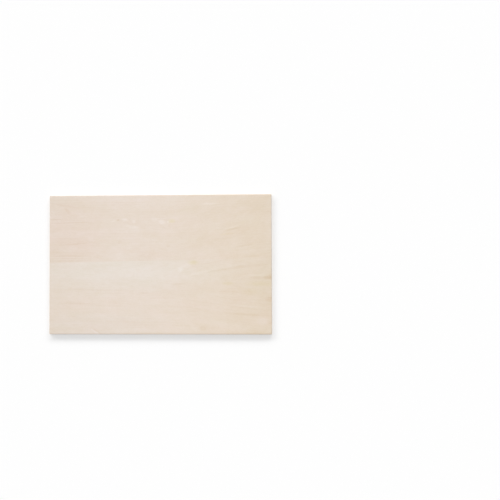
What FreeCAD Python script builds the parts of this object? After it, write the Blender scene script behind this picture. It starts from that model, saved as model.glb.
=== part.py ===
# A thin sheet of pale, close-grained wood, sawn square on all four sides and sanded on both faces.
# It is one solid piece. Its upright corners and its arrises are lightly eased, as sanding leaves them.
#
# Frame: X runs along the grain, Y across it and Z up through the thickness.
# The origin is the middle of the underside, which is the face that the sheet lies on.

import FreeCAD, Part
import os

# Driving dimensions, in millimetres.
length = 310.0        # along the grain, from sawn end to sawn end
width = 193.0         # across the grain
thickness = 3.0
corner_radius = 0.6   # the four upright corners
arris_radius = 0.25   # the edges where each face meets the sides

# A radius can't pass the half of the wall that it is cut into.
widest_corner = 0.49 * min(length, width)
widest_arris = 0.49 * thickness


def blank():
    """The sheet as it comes off the saw, with every edge sharp."""
    lowest_corner = FreeCAD.Vector(-length / 2, -width / 2, 0)
    return Part.makeBox(length, width, thickness, lowest_corner)


def upright_edges(solid):
    """The edges that run through the thickness."""
    return [edge for edge in solid.Edges if edge.BoundBox.ZLength > thickness / 2]


def face_edges(solid):
    """The edges that outline the upper face and the underside."""
    return [edge for edge in solid.Edges if edge.BoundBox.ZLength < thickness / 2]


def wood_sheet():
    """The blank with its corners rounded first, so that each arris then runs round in one line."""
    sheet = blank()
    sheet = sheet.makeFillet(min(corner_radius, widest_corner), upright_edges(sheet))
    return sheet.makeFillet(min(arris_radius, widest_arris), face_edges(sheet))


os.makedirs("parts", exist_ok=True)
wood_sheet().exportStep("parts/wood_sheet.step")
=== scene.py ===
import math
import random

import bmesh
import bpy
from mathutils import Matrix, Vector


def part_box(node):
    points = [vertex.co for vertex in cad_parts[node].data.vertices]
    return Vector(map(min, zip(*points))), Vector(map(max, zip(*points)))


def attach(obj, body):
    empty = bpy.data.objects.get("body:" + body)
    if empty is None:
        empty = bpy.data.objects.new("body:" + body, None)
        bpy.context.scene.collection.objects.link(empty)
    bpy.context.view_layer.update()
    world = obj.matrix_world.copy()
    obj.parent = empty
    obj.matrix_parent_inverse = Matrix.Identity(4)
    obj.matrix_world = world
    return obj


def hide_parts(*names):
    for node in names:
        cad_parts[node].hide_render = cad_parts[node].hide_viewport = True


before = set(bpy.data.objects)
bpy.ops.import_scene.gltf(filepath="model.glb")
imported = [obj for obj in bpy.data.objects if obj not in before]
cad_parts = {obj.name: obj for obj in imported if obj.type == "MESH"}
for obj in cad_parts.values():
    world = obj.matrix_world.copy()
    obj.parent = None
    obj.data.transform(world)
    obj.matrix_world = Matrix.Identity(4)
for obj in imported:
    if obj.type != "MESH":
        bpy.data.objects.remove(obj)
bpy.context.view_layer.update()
sheetLow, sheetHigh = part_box("wood_sheet")
sheetMiddle = (sheetLow + sheetHigh) / 2
mm = 0.001
print("Frame loaded, with the sheet's box from", tuple(sheetLow), "to", tuple(sheetHigh))


# Modelling helpers

def clearSelection():
    if bpy.context.object and bpy.context.object.mode != "OBJECT":
        bpy.ops.object.mode_set(mode="OBJECT")
    bpy.ops.object.select_all(action="DESELECT")


def selectParts(piece, kind, test):
    # kind is verts, edges or faces, and test says of each one whether it is picked
    mesh = bmesh.from_edit_mesh(piece.data)
    mode = {"verts": "VERT", "edges": "EDGE", "faces": "FACE"}[kind]
    bpy.ops.mesh.select_mode(type=mode)
    bpy.ops.mesh.select_all(action="DESELECT")
    picked = 0
    for part in getattr(mesh, kind):
        if test(part):
            part.select_set(True)
            picked += 1
    bmesh.update_edit_mesh(piece.data)
    return picked


def applyModifier(piece, name, kind, **settings):
    modifier = piece.modifiers.new(name, kind)
    for key, value in settings.items():
        setattr(modifier, key, value)
    bpy.ops.object.modifier_apply(modifier=name)


# The sheet

sheetForm = {
    "alongRounds": (16, 15),        # the faces along the grain, as two rounds of dividing
    "acrossRounds": (10, 15),       # the same across it
    "layers": 4,                    # faces through the thickness
    "cornerRadius": 0.6 * mm,       # the four upright corners
    "cornerSteps": 4,
    "arrisRadius": 0.25 * mm,       # where the upper face and the underside meet the sides
    "arrisSteps": 3,
    "ripWander": 0.07 * mm,         # how far the saw strayed into the long sides
    "crosscutWander": 0.12 * mm,    # and into the ends, where fibres tear
    "wanderSize": 3.5 * mm,
    "nicks": 22,                    # small dents knocked into the arrises
    "cornerNicks": 4,               # how many of them are at the corners
    "nicksOnEnds": 0.45,            # the share of them on the ends
    "nickDepth": (0.06 * mm, 0.2 * mm),
    "nickReach": (0.7 * mm, 1.6 * mm),
    "nickSpan": (-0.48, 0.48),      # where they may lie, as shares of the side
    "cornerPlaces": (-0.499, 0.499),
    "nickSlant": 0.6,               # how far down it goes, to each step in
    "seed": 4,
    "smoothUnder": math.radians(40),
}


def divideAlong(piece, axis, rounds):
    # edges that run along one axis are all cut into equal lengths, round after round
    for count in rounds:
        def runsAlong(edge):
            run = edge.verts[1].co - edge.verts[0].co
            return abs(run[axis]) > 0.9 * run.length
        selectParts(piece, "edges", runsAlong)
        bpy.ops.mesh.subdivide(number_cuts=count - 1)


def roundEdges(piece):
    # first the upright corners, then the arris right round both faces
    half = (sheetHigh - sheetLow) / 2
    slack = 0.01 * mm

    def onCorner(edge):
        return all(abs(abs(v.co.x - sheetMiddle.x) - half.x) < slack
                   and abs(abs(v.co.y - sheetMiddle.y) - half.y) < slack for v in edge.verts)
    selectParts(piece, "edges", onCorner)
    bpy.ops.mesh.bevel(offset=sheetForm["cornerRadius"], segments=sheetForm["cornerSteps"],
                       profile=0.5, affect="EDGES")

    squarest = math.radians(70)

    def onArris(edge):
        return edge.calc_face_angle(0) > squarest
    selectParts(piece, "edges", onArris)
    bpy.ops.mesh.bevel(offset=sheetForm["arrisRadius"], segments=sheetForm["arrisSteps"],
                       profile=0.5, affect="EDGES")


def knockNicks(piece):
    # each nick is a few neighbouring points of an arris, pushed into the wood
    rng = random.Random(sheetForm["seed"])
    size = sheetHigh - sheetLow
    for number in range(sheetForm["nicks"]):
        onEnd = rng.random() < sheetForm["nicksOnEnds"]
        side = rng.choice((-1, 1))
        level = rng.choice((sheetLow.z, sheetHigh.z))
        along = rng.uniform(*sheetForm["nickSpan"])
        depth = rng.uniform(*sheetForm["nickDepth"])
        reach = rng.uniform(*sheetForm["nickReach"])
        if number < sheetForm["cornerNicks"]:
            along = rng.choice(sheetForm["cornerPlaces"])
        if onEnd:
            centre = Vector((sheetMiddle.x + side * size.x / 2, sheetMiddle.y + along * size.y, level))
            inward = Vector((-side, 0, 0))
        else:
            centre = Vector((sheetMiddle.x + along * size.x, sheetMiddle.y + side * size.y / 2, level))
            inward = Vector((0, -side, 0))
        inward.z = sheetForm["nickSlant"] * (1 if level == sheetLow.z else -1)
        found = selectParts(piece, "verts", lambda v: (v.co - centre).length < reach)
        if found:
            bpy.ops.transform.translate(value=inward * depth)


def groupPoints(piece, name, test):
    bpy.ops.object.vertex_group_add()
    piece.vertex_groups.active.name = name
    selectParts(piece, "verts", test)
    bpy.ops.object.vertex_group_assign()


def addGroups(piece):
    half = (sheetHigh - sheetLow) / 2
    rim = sheetForm["arrisRadius"]

    def onEnd(v):
        return abs(v.co.x - sheetMiddle.x) > half.x - rim

    def onLongSide(v):
        return abs(v.co.y - sheetMiddle.y) > half.y - rim and not onEnd(v)
    groupPoints(piece, "longSides", onLongSide)
    groupPoints(piece, "ends", onEnd)


def sawWander(piece):
    # the saw's path is never dead straight, and it only ever takes wood away
    clouds = bpy.data.textures.new("sawWander", "CLOUDS")
    clouds.noise_scale = sheetForm["wanderSize"]
    clouds.noise_depth = 2
    for group, depth in (("longSides", sheetForm["ripWander"]), ("ends", sheetForm["crosscutWander"])):
        applyModifier(piece, group + "Wander", "DISPLACE", texture=clouds, texture_coords="LOCAL",
                      vertex_group=group, mid_level=1.0, strength=depth)
    bpy.data.textures.remove(clouds)


def makeSheet():
    clearSelection()
    size = sheetHigh - sheetLow
    bpy.ops.mesh.primitive_cube_add(size=1, location=sheetMiddle, scale=size)
    sheet = bpy.context.object
    sheet.name = "sawnSheet"
    sheet.data.name = "sawnSheet"
    bpy.ops.object.transform_apply(location=True, rotation=True, scale=True)
    bpy.ops.object.mode_set(mode="EDIT")
    divideAlong(sheet, 2, (sheetForm["layers"],))
    divideAlong(sheet, 0, sheetForm["alongRounds"])
    divideAlong(sheet, 1, sheetForm["acrossRounds"])
    roundEdges(sheet)
    addGroups(sheet)
    knockNicks(sheet)
    bpy.ops.object.mode_set(mode="OBJECT")
    sawWander(sheet)
    bpy.ops.object.shade_smooth_by_angle(angle=sheetForm["smoothUnder"])
    return sheet


# Shader helpers

def addNode(tree, kind, sockets=None, **settings):
    node = tree.nodes.new("ShaderNode" + kind)
    for key, value in settings.items():
        setattr(node, key, value)
    for key, value in (sockets or {}).items():
        if isinstance(value, bpy.types.NodeSocket):
            tree.links.new(value, node.inputs[key])
        else:
            node.inputs[key].default_value = value
    return node


def calc(tree, operation, *values, clamp=False):
    sockets = dict(enumerate(values))
    return addNode(tree, "Math", sockets, operation=operation, use_clamp=clamp).outputs[0]


def ramp(tree, value, low, high, start=0.0, end=1.0):
    sockets = {"Value": value, "From Min": low, "From Max": high, "To Min": start, "To Max": end}
    return addNode(tree, "MapRange", sockets, interpolation_type="SMOOTHSTEP").outputs["Result"]


def joinVector(tree, x, y, z):
    return addNode(tree, "CombineXYZ", {"X": x, "Y": y, "Z": z}).outputs[0]


def streaks(tree, place, name):
    # one of the noises that grainNoise lists, from -1 to 1
    size, offset, detail = grainNoise[name]
    scale = tuple(1 / s for s in size)
    sockets = {"Vector": place, "Location": (offset,) * 3, "Scale": scale}
    stretched = addNode(tree, "Mapping", sockets).outputs[0]
    sockets = {"Vector": stretched, "Scale": 1.0, "Detail": detail, "Roughness": 0.5}
    noise = addNode(tree, "TexNoise", sockets, noise_dimensions="3D").outputs["Fac"]
    return calc(tree, "MULTIPLY_ADD", noise, 2.0, -1.0)


def addTint(tree, tone, amount, tint):
    # tone is a running colour, and tint is the share that each channel moves
    moved = addNode(tree, "VectorMath", {0: tint, "Scale": amount}, operation="SCALE").outputs[0]
    return addNode(tree, "VectorMath", {0: tone, 1: moved}, operation="ADD").outputs[0]


# The wood, as one solid pattern that every face cuts through

wood = {
    "fanStart": 26.0,                   # where the grain starts to open out, along the sheet
    "fanJoin": 40.0,                    # how gently
    "fanMiddle": -20.0,                 # the line that it opens from, across the sheet
    "fanRate": 0.0032,
    "grainDrift": 1.6,                  # how far the fibres stray from straight
    "pithDepth": 46.0,                  # how far below the sheet the heart of the tree lay
    "pithRise": 0.12,                   # how it rose, past the start of the fan
    "ringPitch": 3.1,                   # a year's growth
    "ringWobble": 1.3,
    "lateWoodStart": (0.55, 0.93),      # where a ring darkens, as shares of it
    "lateWoodStop": (1.0, 0.94),        # and where it ends
    "faintestRing": 0.2,
    "ringPatches": (-0.25, 0.35),       # the values of their noise where rings are faint, and full
    "faintPatch": 0.25,
    "ringsClear": (5.0, 34.0),          # how far from the fan's middle they are faint, and full
    "faintMiddle": 0.15,
    "fleckEdge": (0.28, 0.55),          # the values of their noise where flecks start, and are full
    "yellowAlong": (-40.0, 165.0),      # the places along the sheet where yellow starts, and is full
    "seamMiddle": 5.7,                  # a straight change of tone, at the middle of the sheet
    "seamSlope": 0.021,
    "seamWander": 0.25,
    "seamEdge": (-0.5, 0.6),            # from one tone to the other
    "seamFade": (60.0, 5.0),            # where the pale side has faded, and where it is full
    "seamAlong": (170.0, -60.0),        # the places along the sheet for the two strengths
    "seamStrength": (0.40, 1.2),
    "paintedShadeRim": (0.9, 0.1),           # how far in from the sides the painted shade starts, and is full
    "paintedShadePatches": (-0.5, 0.5),      # the values of the clouds where it is least, and full
    "leastPaintedShade": 0.3,
}

# How the channels move, as shares of the colour
tints = {
    "paler": (0.020, 0.029, 0.053),         # where the wood runs paler
    "belowSeam": (0.006, 0.029, 0.046),     # on the pale side of the seam
    "rosier": (0.009, -0.006, 0.005),       # a slow drift of hue
    "ends": (-0.036, -0.038, -0.046),       # darker towards both sawn ends: partly painted light falloff from the middle, partly the wood's own tone
    "yellow": (0.0, -0.012, -0.060),        # towards the right end
    "fibres": (0.044, 0.052, 0.066),        # from one fibre to the next
    "flecks": (-0.055, -0.075, -0.105),     # short dark vessels
    "rings": (-0.020, -0.030, -0.048),      # late wood
    "paintedRimShade": (-0.030, -0.042, -0.055),    # painted shade drawn along the arrises
}

# Noise that follows the grain: its size in millimetres along the grain, across it and through the
# thickness, then where in the noise it is taken and how much detail it has
grainNoise = {
    "drift": ((90, 30, 20), 5.0, 1.0),
    "wobble": ((70, 9, 9), 21.0, 2.0),
    "patches": ((60, 12, 20), 14.0, 2.0),
    "bands": ((150, 11, 30), 1.0, 1.0),
    "lines": ((48, 1.9, 4), 2.0, 2.0),
    "dashes": ((15, 1.1, 3), 12.0, 2.0),
    "mottle": ((8, 4.2, 6), 13.0, 2.0),
    "fibres": ((7, 0.30, 0.8), 4.0, 4.0),
    "flecks": ((1.9, 0.16, 0.4), 6.0, 0.0),
    "hue": ((40, 14, 20), 17.0, 2.0),
    "clouds": ((34, 22, 22), 7.0, 2.0),
    "ragged": ((4, 1.1, 2), 3.0, 3.0),
    "scratches": ((14, 0.18, 0.5), 9.0, 1.0),
    "ripScoring": ((0.55, 30, 9), 10.0, 1.0),
    "crosscutScoring": ((30, 0.5, 7), 11.0, 2.0),
}

# How strongly each of them pales or darkens the wood
paleLayers = {"bands": 1.15, "lines": 0.45, "dashes": 0.5, "mottle": 1.1, "clouds": 1.0}

markTones = {
    "pale": (0.020, 0.029, 0.053),
    "cool": (0.000, 0.026, 0.045),
    "rosy": (0.014, -0.008, 0.004),
    "grey": (-0.018, -0.008, 0.004),
    "dark": (-0.022, -0.032, -0.050),
    "brown": (-0.040, -0.068, -0.100),
    "yellow": (-0.012, -0.006, -0.120),
    "olive": (-0.028, -0.036, -0.105),
    "white": (0.045, 0.065, 0.100),
}

markForm = {
    "spread": 1.3,      # a mark fades out at this many times its reach
    "fade": (1.0, 0.2), # where its tone starts and where it is full, as shares of that
    "ragged": 0.3,      # how far its rim strays
    "shallow": 3.0,     # how deep it goes, in millimetres
    "deep": 12.0,       # where it goes right through
}

# Marks in the wood, in millimetres and degrees: the middle along and across the sheet, the reach
# along and across, the turn, the tone and its strength. A mark is in the upper face unless it goes through.
woodMarks = [
    # broad zones
    ((-40, -16), (105, 26), 0, "cool", 0.50),
    ((-150, 24), (75, 22), 0, "dark", 0.40),
    ((-115, 74), (60, 12), 0, "dark", 0.25),
    ((-35, 93), (78, 9), 0, "pale", 0.70),
    ((-62, 40), (30, 28), 0, "pale", 0.35),
    ((-52, 13), (30, 7), 0, "pale", 0.80),
    ((-33, 45), (13, 7), 0, "pale", 0.80),
    ((154, 53), (8, 15), 0, "pale", 0.80),
    ((56, 66), (34, 13), 0, "dark", 0.60),
    ((-130, 42), (58, 44), 0, "rosy", 0.75),
    ((-90, -84), (100, 18), 0, "grey", 0.9),
    ((150, -45), (60, 60), 0, "dark", 0.65),
    ((0, 14), (48, 9), 1.5, "dark", 0.45),
    ((-54, 82), (46, 13), 0, "pale", 0.75),
    ((35, -12), (60, 16), 2, "pale", 0.25),
    ((112, 77), (46, 12), 4, "dark", 0.65),
    ((-91, -62), (18, 8), 0, "dark", 0.75),
    ((100, -51), (22, 8), 0, "dark", 0.45),
    ((12, 45), (16, 7), 0, "pale", 0.60),
    ((22, -56), (16, 8), 0, "pale", 0.65),
    ((57, -21), (16, 7), 0, "pale", 0.55),
    ((-63, 92), (20, 7), 0, "pale", 0.50),
    ((-53, 23), (18, 5), 0, "pale", 0.50),
    ((-126, 65), (16, 6), 0, "dark", 0.45),
    ((-20, -69), (16, 8), 0, "dark", 0.45),
    ((-132, -56), (18, 8), 0, "dark", 0.40),
    ((23, 84), (18, 7), 0, "pale", 0.40),
    ((-55, 74), (14, 6), 0, "pale", 0.40),
    # small knots with the grain bunched pale beside them
    ((-58.2, 62.1), (2.3, 1.4), 15, "brown", 1.5, "through"),
    ((-65.5, 60.5), (4.0, 1.6), 12, "white", 0.6, "through"),
    ((-49.0, 62.4), (4.8, 2.6), -8, "white", 0.7, "through"),
    ((-36.0, 60.0), (3.0, 2.6), 0, "white", 0.9),
    ((-39.0, 52.5), (11.0, 2.8), -10, "white", 0.8),
    # pale, yellow and dark spots
    ((11.6, 59.0), (1.3, 1.2), 0, "white", 1.6),
    ((3.2, 58.8), (5.4, 3.8), -15, "white", 1.1),
    ((-7.0, 63.0), (5.5, 3.4), -20, "white", 0.6),
    ((4.0, 52.6), (7.0, 1.5), 3, "brown", 0.3),
    ((16.8, 60.4), (5.4, 3.2), 0, "yellow", 0.95),
    ((13.6, 53.5), (2.0, 3.0), 0, "dark", 0.7),
    ((46.5, 2.6), (7.5, 3.6), 0, "yellow", 0.85),
    ((47.5, 3.0), (4.4, 2.8), 0, "dark", 1.3),
    ((28.6, -7.0), (4.2, 4.4), 35, "white", 0.9),
    ((37.0, -1.5), (8.0, 3.0), 18, "white", 0.6),
    ((12.0, 25.6), (3.4, 2.0), 0, "dark", 1.3),
    ((-56.5, 31.0), (3.0, 3.0), 0, "dark", 0.9),
    ((60.6, -88.2), (6.0, 4.0), -8, "dark", 1.6),
    ((45.0, -85.0), (7.0, 3.0), -40, "white", 0.4),
    ((143.0, -78.0), (10.0, 6.0), 0, "pale", 0.9),
    # streaks that follow the grain, from the left end to the right
    ((-146.0, 63.4), (12.0, 1.1), 0, "dark", 2.1),
    ((-124.0, 58.6), (32.0, 1.2), 2, "dark", 1.7),
    ((-129.5, 74.5), (6.5, 2.2), -48, "brown", 0.65),
    ((-134.0, 82.4), (20.0, 1.7), -10, "brown", 0.6),
    ((-116.0, 29.0), (24.0, 1.3), 4, "dark", 1.5),
    ((-128.0, 37.0), (26.0, 1.0), 1, "dark", 1.1),
    ((-128.0, 12.2), (30.0, 1.1), 0, "dark", 1.8),
    ((-127.0, 8.6), (29.0, 0.9), 0, "dark", 1.4),
    ((-128.0, 5.2), (27.0, 0.9), 0, "dark", 1.7),
    ((-87.0, -35.0), (66.0, 1.4), -1.5, "dark", 1.1),
    ((-111.0, -54.0), (27.0, 1.9), -1, "dark", 1.5),
    ((-88.0, -92.0), (10.0, 1.0), -33, "dark", 2.0),
    ((-90.5, -93.2), (9.0, 0.9), -33, "white", 1.1),
    ((-22.0, -39.3), (8.0, 1.3), -2, "dark", 1.7),
    ((70.0, 84.0), (14.0, 1.6), 3, "white", 0.8),
    ((27.0, -27.0), (11.0, 1.6), 2, "dark", 1.6),
    ((60.0, -10.5), (28.0, 2.2), 14, "white", 0.5),
    ((86.0, -7.6), (30.0, 1.6), 9, "dark", 1.2),
    ((122.0, -2.6), (28.0, 2.4), 5, "brown", 0.65),
    ((133.0, 11.2), (15.0, 1.3), 2, "dark", 1.3),
    ((95.0, 42.2), (12.0, 1.8), 6, "olive", 0.7),
    ((102.0, 48.6), (14.0, 1.4), 15, "dark", 1.4),
    ((101.0, 51.4), (13.0, 1.4), 15, "white", 0.6),
    ((116.0, 25.4), (13.0, 1.5), 10, "dark", 1.3),
    ((84.0, 35.5), (18.0, 1.1), 6, "dark", 1.1),
    ((94.5, -26.4), (9.0, 3.0), -2, "olive", 0.95),
    ((96.0, -37.5), (14.0, 1.3), -2, "dark", 0.8),
    ((126.0, -38.0), (11.0, 5.0), 0, "olive", 0.45),
    # painted shade: these two dark strips along the front long edge stand in for the cast shadow beside it
    ((30.0, -97.0), (160.0, 4.6), 0, "dark", 1.4),
    ((132.0, -97.0), (34.0, 5.0), 0, "dark", 1.2),
    ((62.0, 96.0), (26.0, 3.4), 0, "dark", 0.8),
    ((120.0, -69.0), (31.0, 1.7), -4, "dark", 1.1),
    ((128.0, -58.5), (21.0, 1.5), -5, "white", 0.6),
    ((131.0, -15.0), (17.0, 1.5), 2, "white", 0.6),
    # stains drawn into the right end
    ((157.0, -16.0), (12.0, 4.6), 14, "brown", 1.15),
    ((160.0, -17.5), (8.0, 3.0), 0, "brown", 0.5),
    ((146.0, -18.6), (26.0, 2.4), 0, "brown", 0.9),
    ((156.0, -48.0), (11.0, 4.0), 0, "brown", 1.25),
    ((159.0, -80.0), (9.0, 4.0), 4, "brown", 1.3),
    ((146.0, -27.0), (32.0, 4.0), 0, "olive", 0.75),
]


def pastFanStart(tree, x):
    # nothing before the fan starts, then growing evenly, with a gentle join
    return calc(tree, "SMOOTH_MAX", calc(tree, "SUBTRACT", x, wood["fanStart"]), 0.0, wood["fanJoin"])


def flowAlongGrain(tree, place):
    # follows the fibres: across is squeezed where the grain opens out, so lines of equal value fan
    x, y, z = addNode(tree, "SeparateXYZ", {0: place}).outputs
    drift = streaks(tree, place, "drift")
    across = calc(tree, "SUBTRACT", y, wood["fanMiddle"])
    opened = calc(tree, "MULTIPLY_ADD", pastFanStart(tree, x), wood["fanRate"], 1.0)
    squeezed = calc(tree, "DIVIDE", across, opened)
    squeezed = calc(tree, "MULTIPLY_ADD", drift, wood["grainDrift"], squeezed)
    return x, y, z, joinVector(tree, x, squeezed, z)


def growthRings(tree, x, y, z, flow):
    # rings are even shells about the heart, which lay below the sheet and rose towards the right end
    wobble = streaks(tree, flow, "wobble")
    rise = calc(tree, "MULTIPLY", pastFanStart(tree, x), wood["pithRise"])
    depth = calc(tree, "SUBTRACT", calc(tree, "ADD", z, wood["pithDepth"]), rise)
    across = calc(tree, "SUBTRACT", y, wood["fanMiddle"])
    squares = calc(tree, "ADD", calc(tree, "POWER", depth, 2.0), calc(tree, "MULTIPLY", across, across))
    radius = calc(tree, "MULTIPLY_ADD", wobble, wood["ringWobble"], calc(tree, "SQRT", squares))
    count = calc(tree, "DIVIDE", radius, wood["ringPitch"])
    within = calc(tree, "FRACT", count)
    lateWood = calc(tree, "MULTIPLY", ramp(tree, within, *wood["lateWoodStart"]),
                    ramp(tree, within, *wood["lateWoodStop"]))
    year = addNode(tree, "TexWhiteNoise", {"W": calc(tree, "FLOOR", count)}, noise_dimensions="1D")
    faintest = wood["faintestRing"]
    strength = calc(tree, "MULTIPLY_ADD", year.outputs["Value"], 1 - faintest, faintest)
    lateWood = calc(tree, "MULTIPLY", lateWood, strength)
    # they fade in and out along the grain, and are too wide to read over the middle of the fan
    patches = streaks(tree, flow, "patches")
    patches = ramp(tree, patches, *wood["ringPatches"], wood["faintPatch"])
    clear = calc(tree, "ABSOLUTE", across)
    clear = ramp(tree, clear, *wood["ringsClear"], wood["faintMiddle"])
    return calc(tree, "MULTIPLY", lateWood, calc(tree, "MULTIPLY", patches, clear))


def paleBelowSeam(tree, x, y, lines):
    # the straight change of tone: paler just below the line, and less so towards the right end
    seam = calc(tree, "MULTIPLY_ADD", x, wood["seamSlope"], wood["seamMiddle"])
    below = calc(tree, "SUBTRACT", calc(tree, "MULTIPLY_ADD", lines, wood["seamWander"], seam), y)
    pale = calc(tree, "MULTIPLY", ramp(tree, below, *wood["seamEdge"]),
                ramp(tree, below, *wood["seamFade"]))
    return calc(tree, "MULTIPLY", pale, ramp(tree, x, *wood["seamAlong"], *wood["seamStrength"]))


def paintedArrisShade(tree, x, y, clouds):
    # painted shade: the arrises are drawn a little darker, in cloudy patches, standing in for the shade
    # along the sheet's rim
    half = (sheetHigh - sheetLow) / 2 / mm
    toEnd = calc(tree, "SUBTRACT", half.x, calc(tree, "ABSOLUTE", x))
    toSide = calc(tree, "SUBTRACT", half.y, calc(tree, "ABSOLUTE", y))
    rim = ramp(tree, calc(tree, "MINIMUM", toEnd, toSide), *wood["paintedShadeRim"])
    patches = ramp(tree, clouds, *wood["paintedShadePatches"], wood["leastPaintedShade"])
    return calc(tree, "MULTIPLY", rim, patches)


def markTint(tree, place, z):
    # all the marks together, added up from nothing so that the shader's memory holds one at a time
    belowTop = calc(tree, "SUBTRACT", z, sheetHigh.z / mm)
    shallow = calc(tree, "DIVIDE", belowTop, markForm["shallow"])
    deep = calc(tree, "DIVIDE", belowTop, markForm["deep"])
    ragged = streaks(tree, place, "ragged")
    tint = joinVector(tree, 0.0, 0.0, 0.0)
    for middle, reach, turn, toneName, strength, *through in woodMarks:
        turned = math.radians(turn)
        along = Vector((math.cos(turned), math.sin(turned), 0)) / (markForm["spread"] * reach[0])
        across = Vector((-math.sin(turned), math.cos(turned), 0)) / (markForm["spread"] * reach[1])
        away = addNode(tree, "VectorMath", {0: place, 1: (*middle, 0)}, operation="SUBTRACT").outputs[0]
        parts = [addNode(tree, "VectorMath", {0: away, 1: way}, operation="DOT_PRODUCT").outputs["Value"]
                 for way in (along, across)]
        inside = joinVector(tree, *parts, deep if through else shallow)
        far = addNode(tree, "VectorMath", {0: inside}, operation="LENGTH").outputs["Value"]
        far = calc(tree, "MULTIPLY_ADD", ragged, markForm["ragged"], far)
        share = tuple(strength * channel for channel in markTones[toneName])
        tint = addTint(tree, tint, ramp(tree, far, *markForm["fade"]), share)
    return tint


def makeWoodPattern():
    # a node group with what the three finishes share
    tree = bpy.data.node_groups.new("solidWood", "ShaderNodeTree")
    for name, kind in (("Tone", "NodeSocketVector"), ("Rings", "NodeSocketFloat"),
                       ("Fibres", "NodeSocketFloat"), ("Flecks", "NodeSocketFloat"),
                       ("Place", "NodeSocketVector")):
        tree.interface.new_socket(name, in_out="OUTPUT", socket_type=kind)
    coords = addNode(tree, "TexCoord").outputs["Object"]
    place = addNode(tree, "VectorMath", {0: coords, "Scale": 1 / mm}, operation="SCALE").outputs[0]
    x, y, z, flow = flowAlongGrain(tree, place)
    rings = growthRings(tree, x, y, z, flow)
    layers = {name: streaks(tree, flow, name) for name in ("bands", "lines", "dashes", "mottle")}
    layers["clouds"] = streaks(tree, place, "clouds")
    fibres = streaks(tree, flow, "fibres")
    flecks = ramp(tree, streaks(tree, flow, "flecks"), *wood["fleckEdge"])
    endShare = calc(tree, "DIVIDE", x, sheetHigh.x / mm)

    tone = joinVector(tree, 1.0, 1.0, 1.0)
    # darker towards both ends: partly painted light falloff, partly the wood's own tone
    tone = addTint(tree, tone, calc(tree, "MULTIPLY", endShare, endShare), tints["ends"])
    tone = addTint(tree, tone, ramp(tree, x, *wood["yellowAlong"]), tints["yellow"])
    for name, strength in paleLayers.items():
        tone = addTint(tree, tone, calc(tree, "MULTIPLY", layers[name], strength), tints["paler"])
    tone = addTint(tree, tone, paleBelowSeam(tree, x, y, layers["lines"]), tints["belowSeam"])
    tone = addTint(tree, tone, streaks(tree, flow, "hue"), tints["rosier"])
    tone = addTint(tree, tone, fibres, tints["fibres"])
    tone = addTint(tree, tone, flecks, tints["flecks"])
    tone = addTint(tree, tone, rings, tints["rings"])
    # painted shade along the arrises, darker at the rim
    tone = addTint(tree, tone, paintedArrisShade(tree, x, y, layers["clouds"]), tints["paintedRimShade"])
    marks = markTint(tree, place, z)
    tone = addNode(tree, "VectorMath", {0: tone, 1: marks}, operation="ADD").outputs[0]
    out = tree.nodes.new("NodeGroupOutput")
    for name, value in (("Tone", tone), ("Rings", rings), ("Fibres", fibres), ("Flecks", flecks),
                        ("Place", place)):
        tree.links.new(value, out.inputs[name])
    return tree


def startMaterial(name, pattern):
    material = bpy.data.materials.new(name)
    material.use_nodes = True
    tree = material.node_tree
    shader = tree.nodes["Principled BSDF"]
    group = tree.nodes.new("ShaderNodeGroup")
    group.node_tree = pattern
    return material, tree, shader, group.outputs


def finishSurface(tree, shader, tone, height, grain, look):
    # grain is what the roughness follows
    colour = addNode(tree, "VectorMath", {0: tone, 1: look["colour"]}, operation="MULTIPLY").outputs[0]
    roughness = calc(tree, "MULTIPLY_ADD", grain, look["roughnessSpread"], look["roughness"])
    sockets = {"Height": height, "Distance": look["depth"], "Strength": look["strength"]}
    tree.links.new(colour, shader.inputs["Base Color"])
    tree.links.new(roughness, shader.inputs["Roughness"])
    tree.links.new(addNode(tree, "Bump", sockets).outputs[0], shader.inputs["Normal"])
    shader.inputs["Specular IOR Level"].default_value = look["gloss"]


sandedLook = {
    "colour": (0.800, 0.699, 0.610),
    "scratchHeight": 0.35,          # heights are shares of the depth
    "fibreHeight": 0.5,
    "fleckHeight": -0.6,
    "depth": 0.03 * mm,
    "strength": 0.7,
    "roughness": 0.72,
    "roughnessSpread": 0.05,
    "gloss": 0.08,
}


def makeSandedFace(pattern):
    # fine sandpaper along the grain leaves a matt face with faint raised fibres
    material, tree, shader, parts = startMaterial("sandedFace", pattern)
    scratches = streaks(tree, parts["Place"], "scratches")
    height = calc(tree, "MULTIPLY", parts["Fibres"], sandedLook["fibreHeight"])
    height = calc(tree, "MULTIPLY_ADD", scratches, sandedLook["scratchHeight"], height)
    height = calc(tree, "MULTIPLY_ADD", parts["Flecks"], sandedLook["fleckHeight"], height)
    finishSurface(tree, shader, parts["Tone"], height, parts["Fibres"], sandedLook)
    return material


rippedLook = {
    "colour": (0.565, 0.472, 0.382),
    "scoringTint": (0.055, 0.062, 0.070),
    "ringTint": (-0.09, -0.11, -0.13),
    "scoringHeight": 0.8,
    "fibreHeight": 0.4,
    "depth": 0.05 * mm,
    "strength": 0.7,
    "roughness": 0.74,
    "roughnessSpread": 0.06,
    "gloss": 0.15,
}


def makeRippedSide(pattern):
    # the long sides, sawn along the grain: fibres run the length, with upright scoring from the blade
    material, tree, shader, parts = startMaterial("rippedSide", pattern)
    scoring = streaks(tree, parts["Place"], "ripScoring")
    tone = addTint(tree, parts["Tone"], scoring, rippedLook["scoringTint"])
    tone = addTint(tree, tone, parts["Rings"], rippedLook["ringTint"])
    height = calc(tree, "MULTIPLY", parts["Fibres"], rippedLook["fibreHeight"])
    height = calc(tree, "MULTIPLY_ADD", scoring, rippedLook["scoringHeight"], height)
    finishSurface(tree, shader, tone, height, scoring, rippedLook)
    return material


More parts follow.
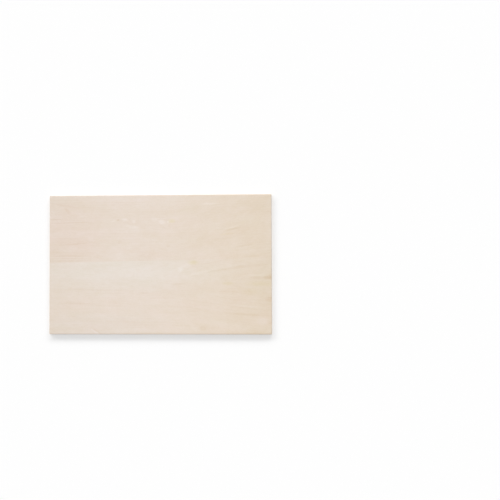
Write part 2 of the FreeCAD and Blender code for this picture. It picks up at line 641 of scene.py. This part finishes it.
endLook = {
    "colour": (0.580, 0.467, 0.360),
    "poresInMillimetre": 5.5,
    "poreRim": (0.34, 0.12),        # from a pore's rim to where it is full, in the pattern's own measure
    "poreTint": (-0.16, -0.19, -0.22),
    "scoringTint": (0.05, 0.06, 0.07),
    "ringTint": (-0.16, -0.20, -0.24),
    "poreHeight": -0.8,
    "depth": 0.06 * mm,
    "strength": 0.8,
    "roughness": 0.80,
    "roughnessSpread": 0.08,
    "gloss": 0.15,
}


def makeEndGrain(pattern):
    # the ends show the cut fibres as pores, with the rings as darker arcs, and they drink in dirt
    material, tree, shader, parts = startMaterial("endGrain", pattern)
    sockets = {"Vector": parts["Place"], "Scale": endLook["poresInMillimetre"]}
    cells = addNode(tree, "TexVoronoi", sockets, feature="F1").outputs["Distance"]
    pores = ramp(tree, cells, *endLook["poreRim"])
    scoring = streaks(tree, parts["Place"], "crosscutScoring")
    tone = addTint(tree, parts["Tone"], pores, endLook["poreTint"])
    tone = addTint(tree, tone, scoring, endLook["scoringTint"])
    tone = addTint(tree, tone, parts["Rings"], endLook["ringTint"])
    height = calc(tree, "MULTIPLY_ADD", pores, endLook["poreHeight"], scoring)
    finishSurface(tree, shader, tone, height, pores, endLook)
    return material


def dressSheet(sheet):
    # the faces, the long sides and the ends each take their finish by the way that they point
    pattern = makeWoodPattern()
    for material in (makeSandedFace(pattern), makeRippedSide(pattern), makeEndGrain(pattern)):
        sheet.data.materials.append(material)
    steepest = 0.75                 # what points up or down more than this keeps the sanded finish

    def onLongSide(face):
        return abs(face.normal.z) < steepest and abs(face.normal.y) >= abs(face.normal.x)

    def onEnd(face):
        return abs(face.normal.z) < steepest and abs(face.normal.y) < abs(face.normal.x)
    bpy.ops.object.mode_set(mode="EDIT")
    for index, test in ((1, onLongSide), (2, onEnd)):
        selectParts(sheet, "faces", test)
        sheet.active_material_index = index
        bpy.ops.object.material_slot_assign()
    bpy.ops.object.mode_set(mode="OBJECT")


# The camera, the floor and the lights

studio = {
    "lens": 50.0,
    "cameraPlace": (0.1698, -0.0014, 0.9563),       # from the middle of the upper face
    "cameraTurn": (1.247, 2.663, -0.191),           # degrees
    "floorSize": 12.0,
    "floorColour": (0.985, 0.985, 0.985, 1.0),
    "fill": 0.36,                   # the shares of the light on the floor, which add up to about one
    "overhead": 0.376,
    "key": 0.272,                   # a row of like lamps shares this
    "overheadHeight": 89.0,         # degrees above the floor
    "overheadSoftness": 60.0,       # degrees across
    "keySoftness": 12.0,
    "keyHeight": 14.5,
    "keySwings": (-26, 0, 26, 52),  # degrees round from the far side towards the left end
}


def makeCamera():
    camera = bpy.data.objects.new("camera", bpy.data.cameras.new("camera"))
    bpy.context.collection.objects.link(camera)
    faceMiddle = Vector((sheetMiddle.x, sheetMiddle.y, sheetHigh.z))
    camera.location = faceMiddle + Vector(studio["cameraPlace"])
    camera.rotation_euler = [math.radians(a) for a in studio["cameraTurn"]]
    camera.data.lens = studio["lens"]
    bpy.context.scene.camera = camera


def makeFloor():
    clearSelection()
    bpy.ops.mesh.primitive_plane_add(size=studio["floorSize"], location=(0, 0, sheetLow.z))
    floor = bpy.context.object
    floor.name = "floor"
    material = bpy.data.materials.new("paleFloor")
    material.use_nodes = True
    tree = material.node_tree
    tree.nodes.clear()
    matt = addNode(tree, "BsdfDiffuse", {"Color": studio["floorColour"]})
    out = tree.nodes.new("ShaderNodeOutputMaterial")
    tree.links.new(matt.outputs[0], out.inputs["Surface"])
    floor.data.materials.append(material)


def addSun(name, share, height, swing, softness):
    # share is the part of the floor's light that this lamp gives
    height, swing = math.radians(height), math.radians(swing)
    lamp = bpy.data.objects.new(name, bpy.data.lights.new(name, "SUN"))
    bpy.context.collection.objects.link(lamp)
    travel = Vector((math.sin(swing) * math.cos(height), -math.cos(swing) * math.cos(height),
                     -math.sin(height)))
    lamp.rotation_euler = travel.to_track_quat("-Z", "Y").to_euler()
    lamp.location = -travel * 2     # a sun shines alike from anywhere, and this keeps it off the sheet
    lamp.data.energy = share * math.pi / math.sin(height)
    lamp.data.angle = math.radians(softness)


def makeWorld():
    # white where it is seen or mirrored, and a soft fill for everything else
    world = bpy.data.worlds.new("studio")
    bpy.context.scene.world = world
    world.use_nodes = True
    tree = world.node_tree
    tree.nodes.clear()
    rays = addNode(tree, "LightPath").outputs
    seen = calc(tree, "ADD", rays["Is Camera Ray"], rays["Is Glossy Ray"])
    seen = calc(tree, "ADD", seen, rays["Is Transmission Ray"], clamp=True)
    strength = addNode(tree, "MapRange", {"Value": seen, "To Min": studio["fill"], "To Max": 1.0})
    sockets = {"Color": (1, 1, 1, 1), "Strength": strength.outputs["Result"]}
    background = addNode(tree, "Background", sockets)
    out = tree.nodes.new("ShaderNodeOutputWorld")
    tree.links.new(background.outputs[0], out.inputs["Surface"])


def makeStudio():
    makeCamera()
    makeFloor()
    addSun("overheadLamp", studio["overhead"], studio["overheadHeight"], 0.0, studio["overheadSoftness"])
    # one low, wide window, as a row of like lamps
    share = studio["key"] / len(studio["keySwings"])
    for number, swing in enumerate(studio["keySwings"], 1):
        addSun(f"keyLamp{number}", share, studio["keyHeight"], swing, studio["keySoftness"])
    makeWorld()
    bpy.context.scene.view_settings.view_transform = "Standard"


sheet = makeSheet()
print("Sheet modelled, with", len(sheet.data.polygons), "faces")
dressSheet(sheet)
print("Sheet dressed in", len(sheet.data.materials), "finishes")
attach(sheet, "root")
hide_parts("wood_sheet")
makeStudio()
print("Studio lit")
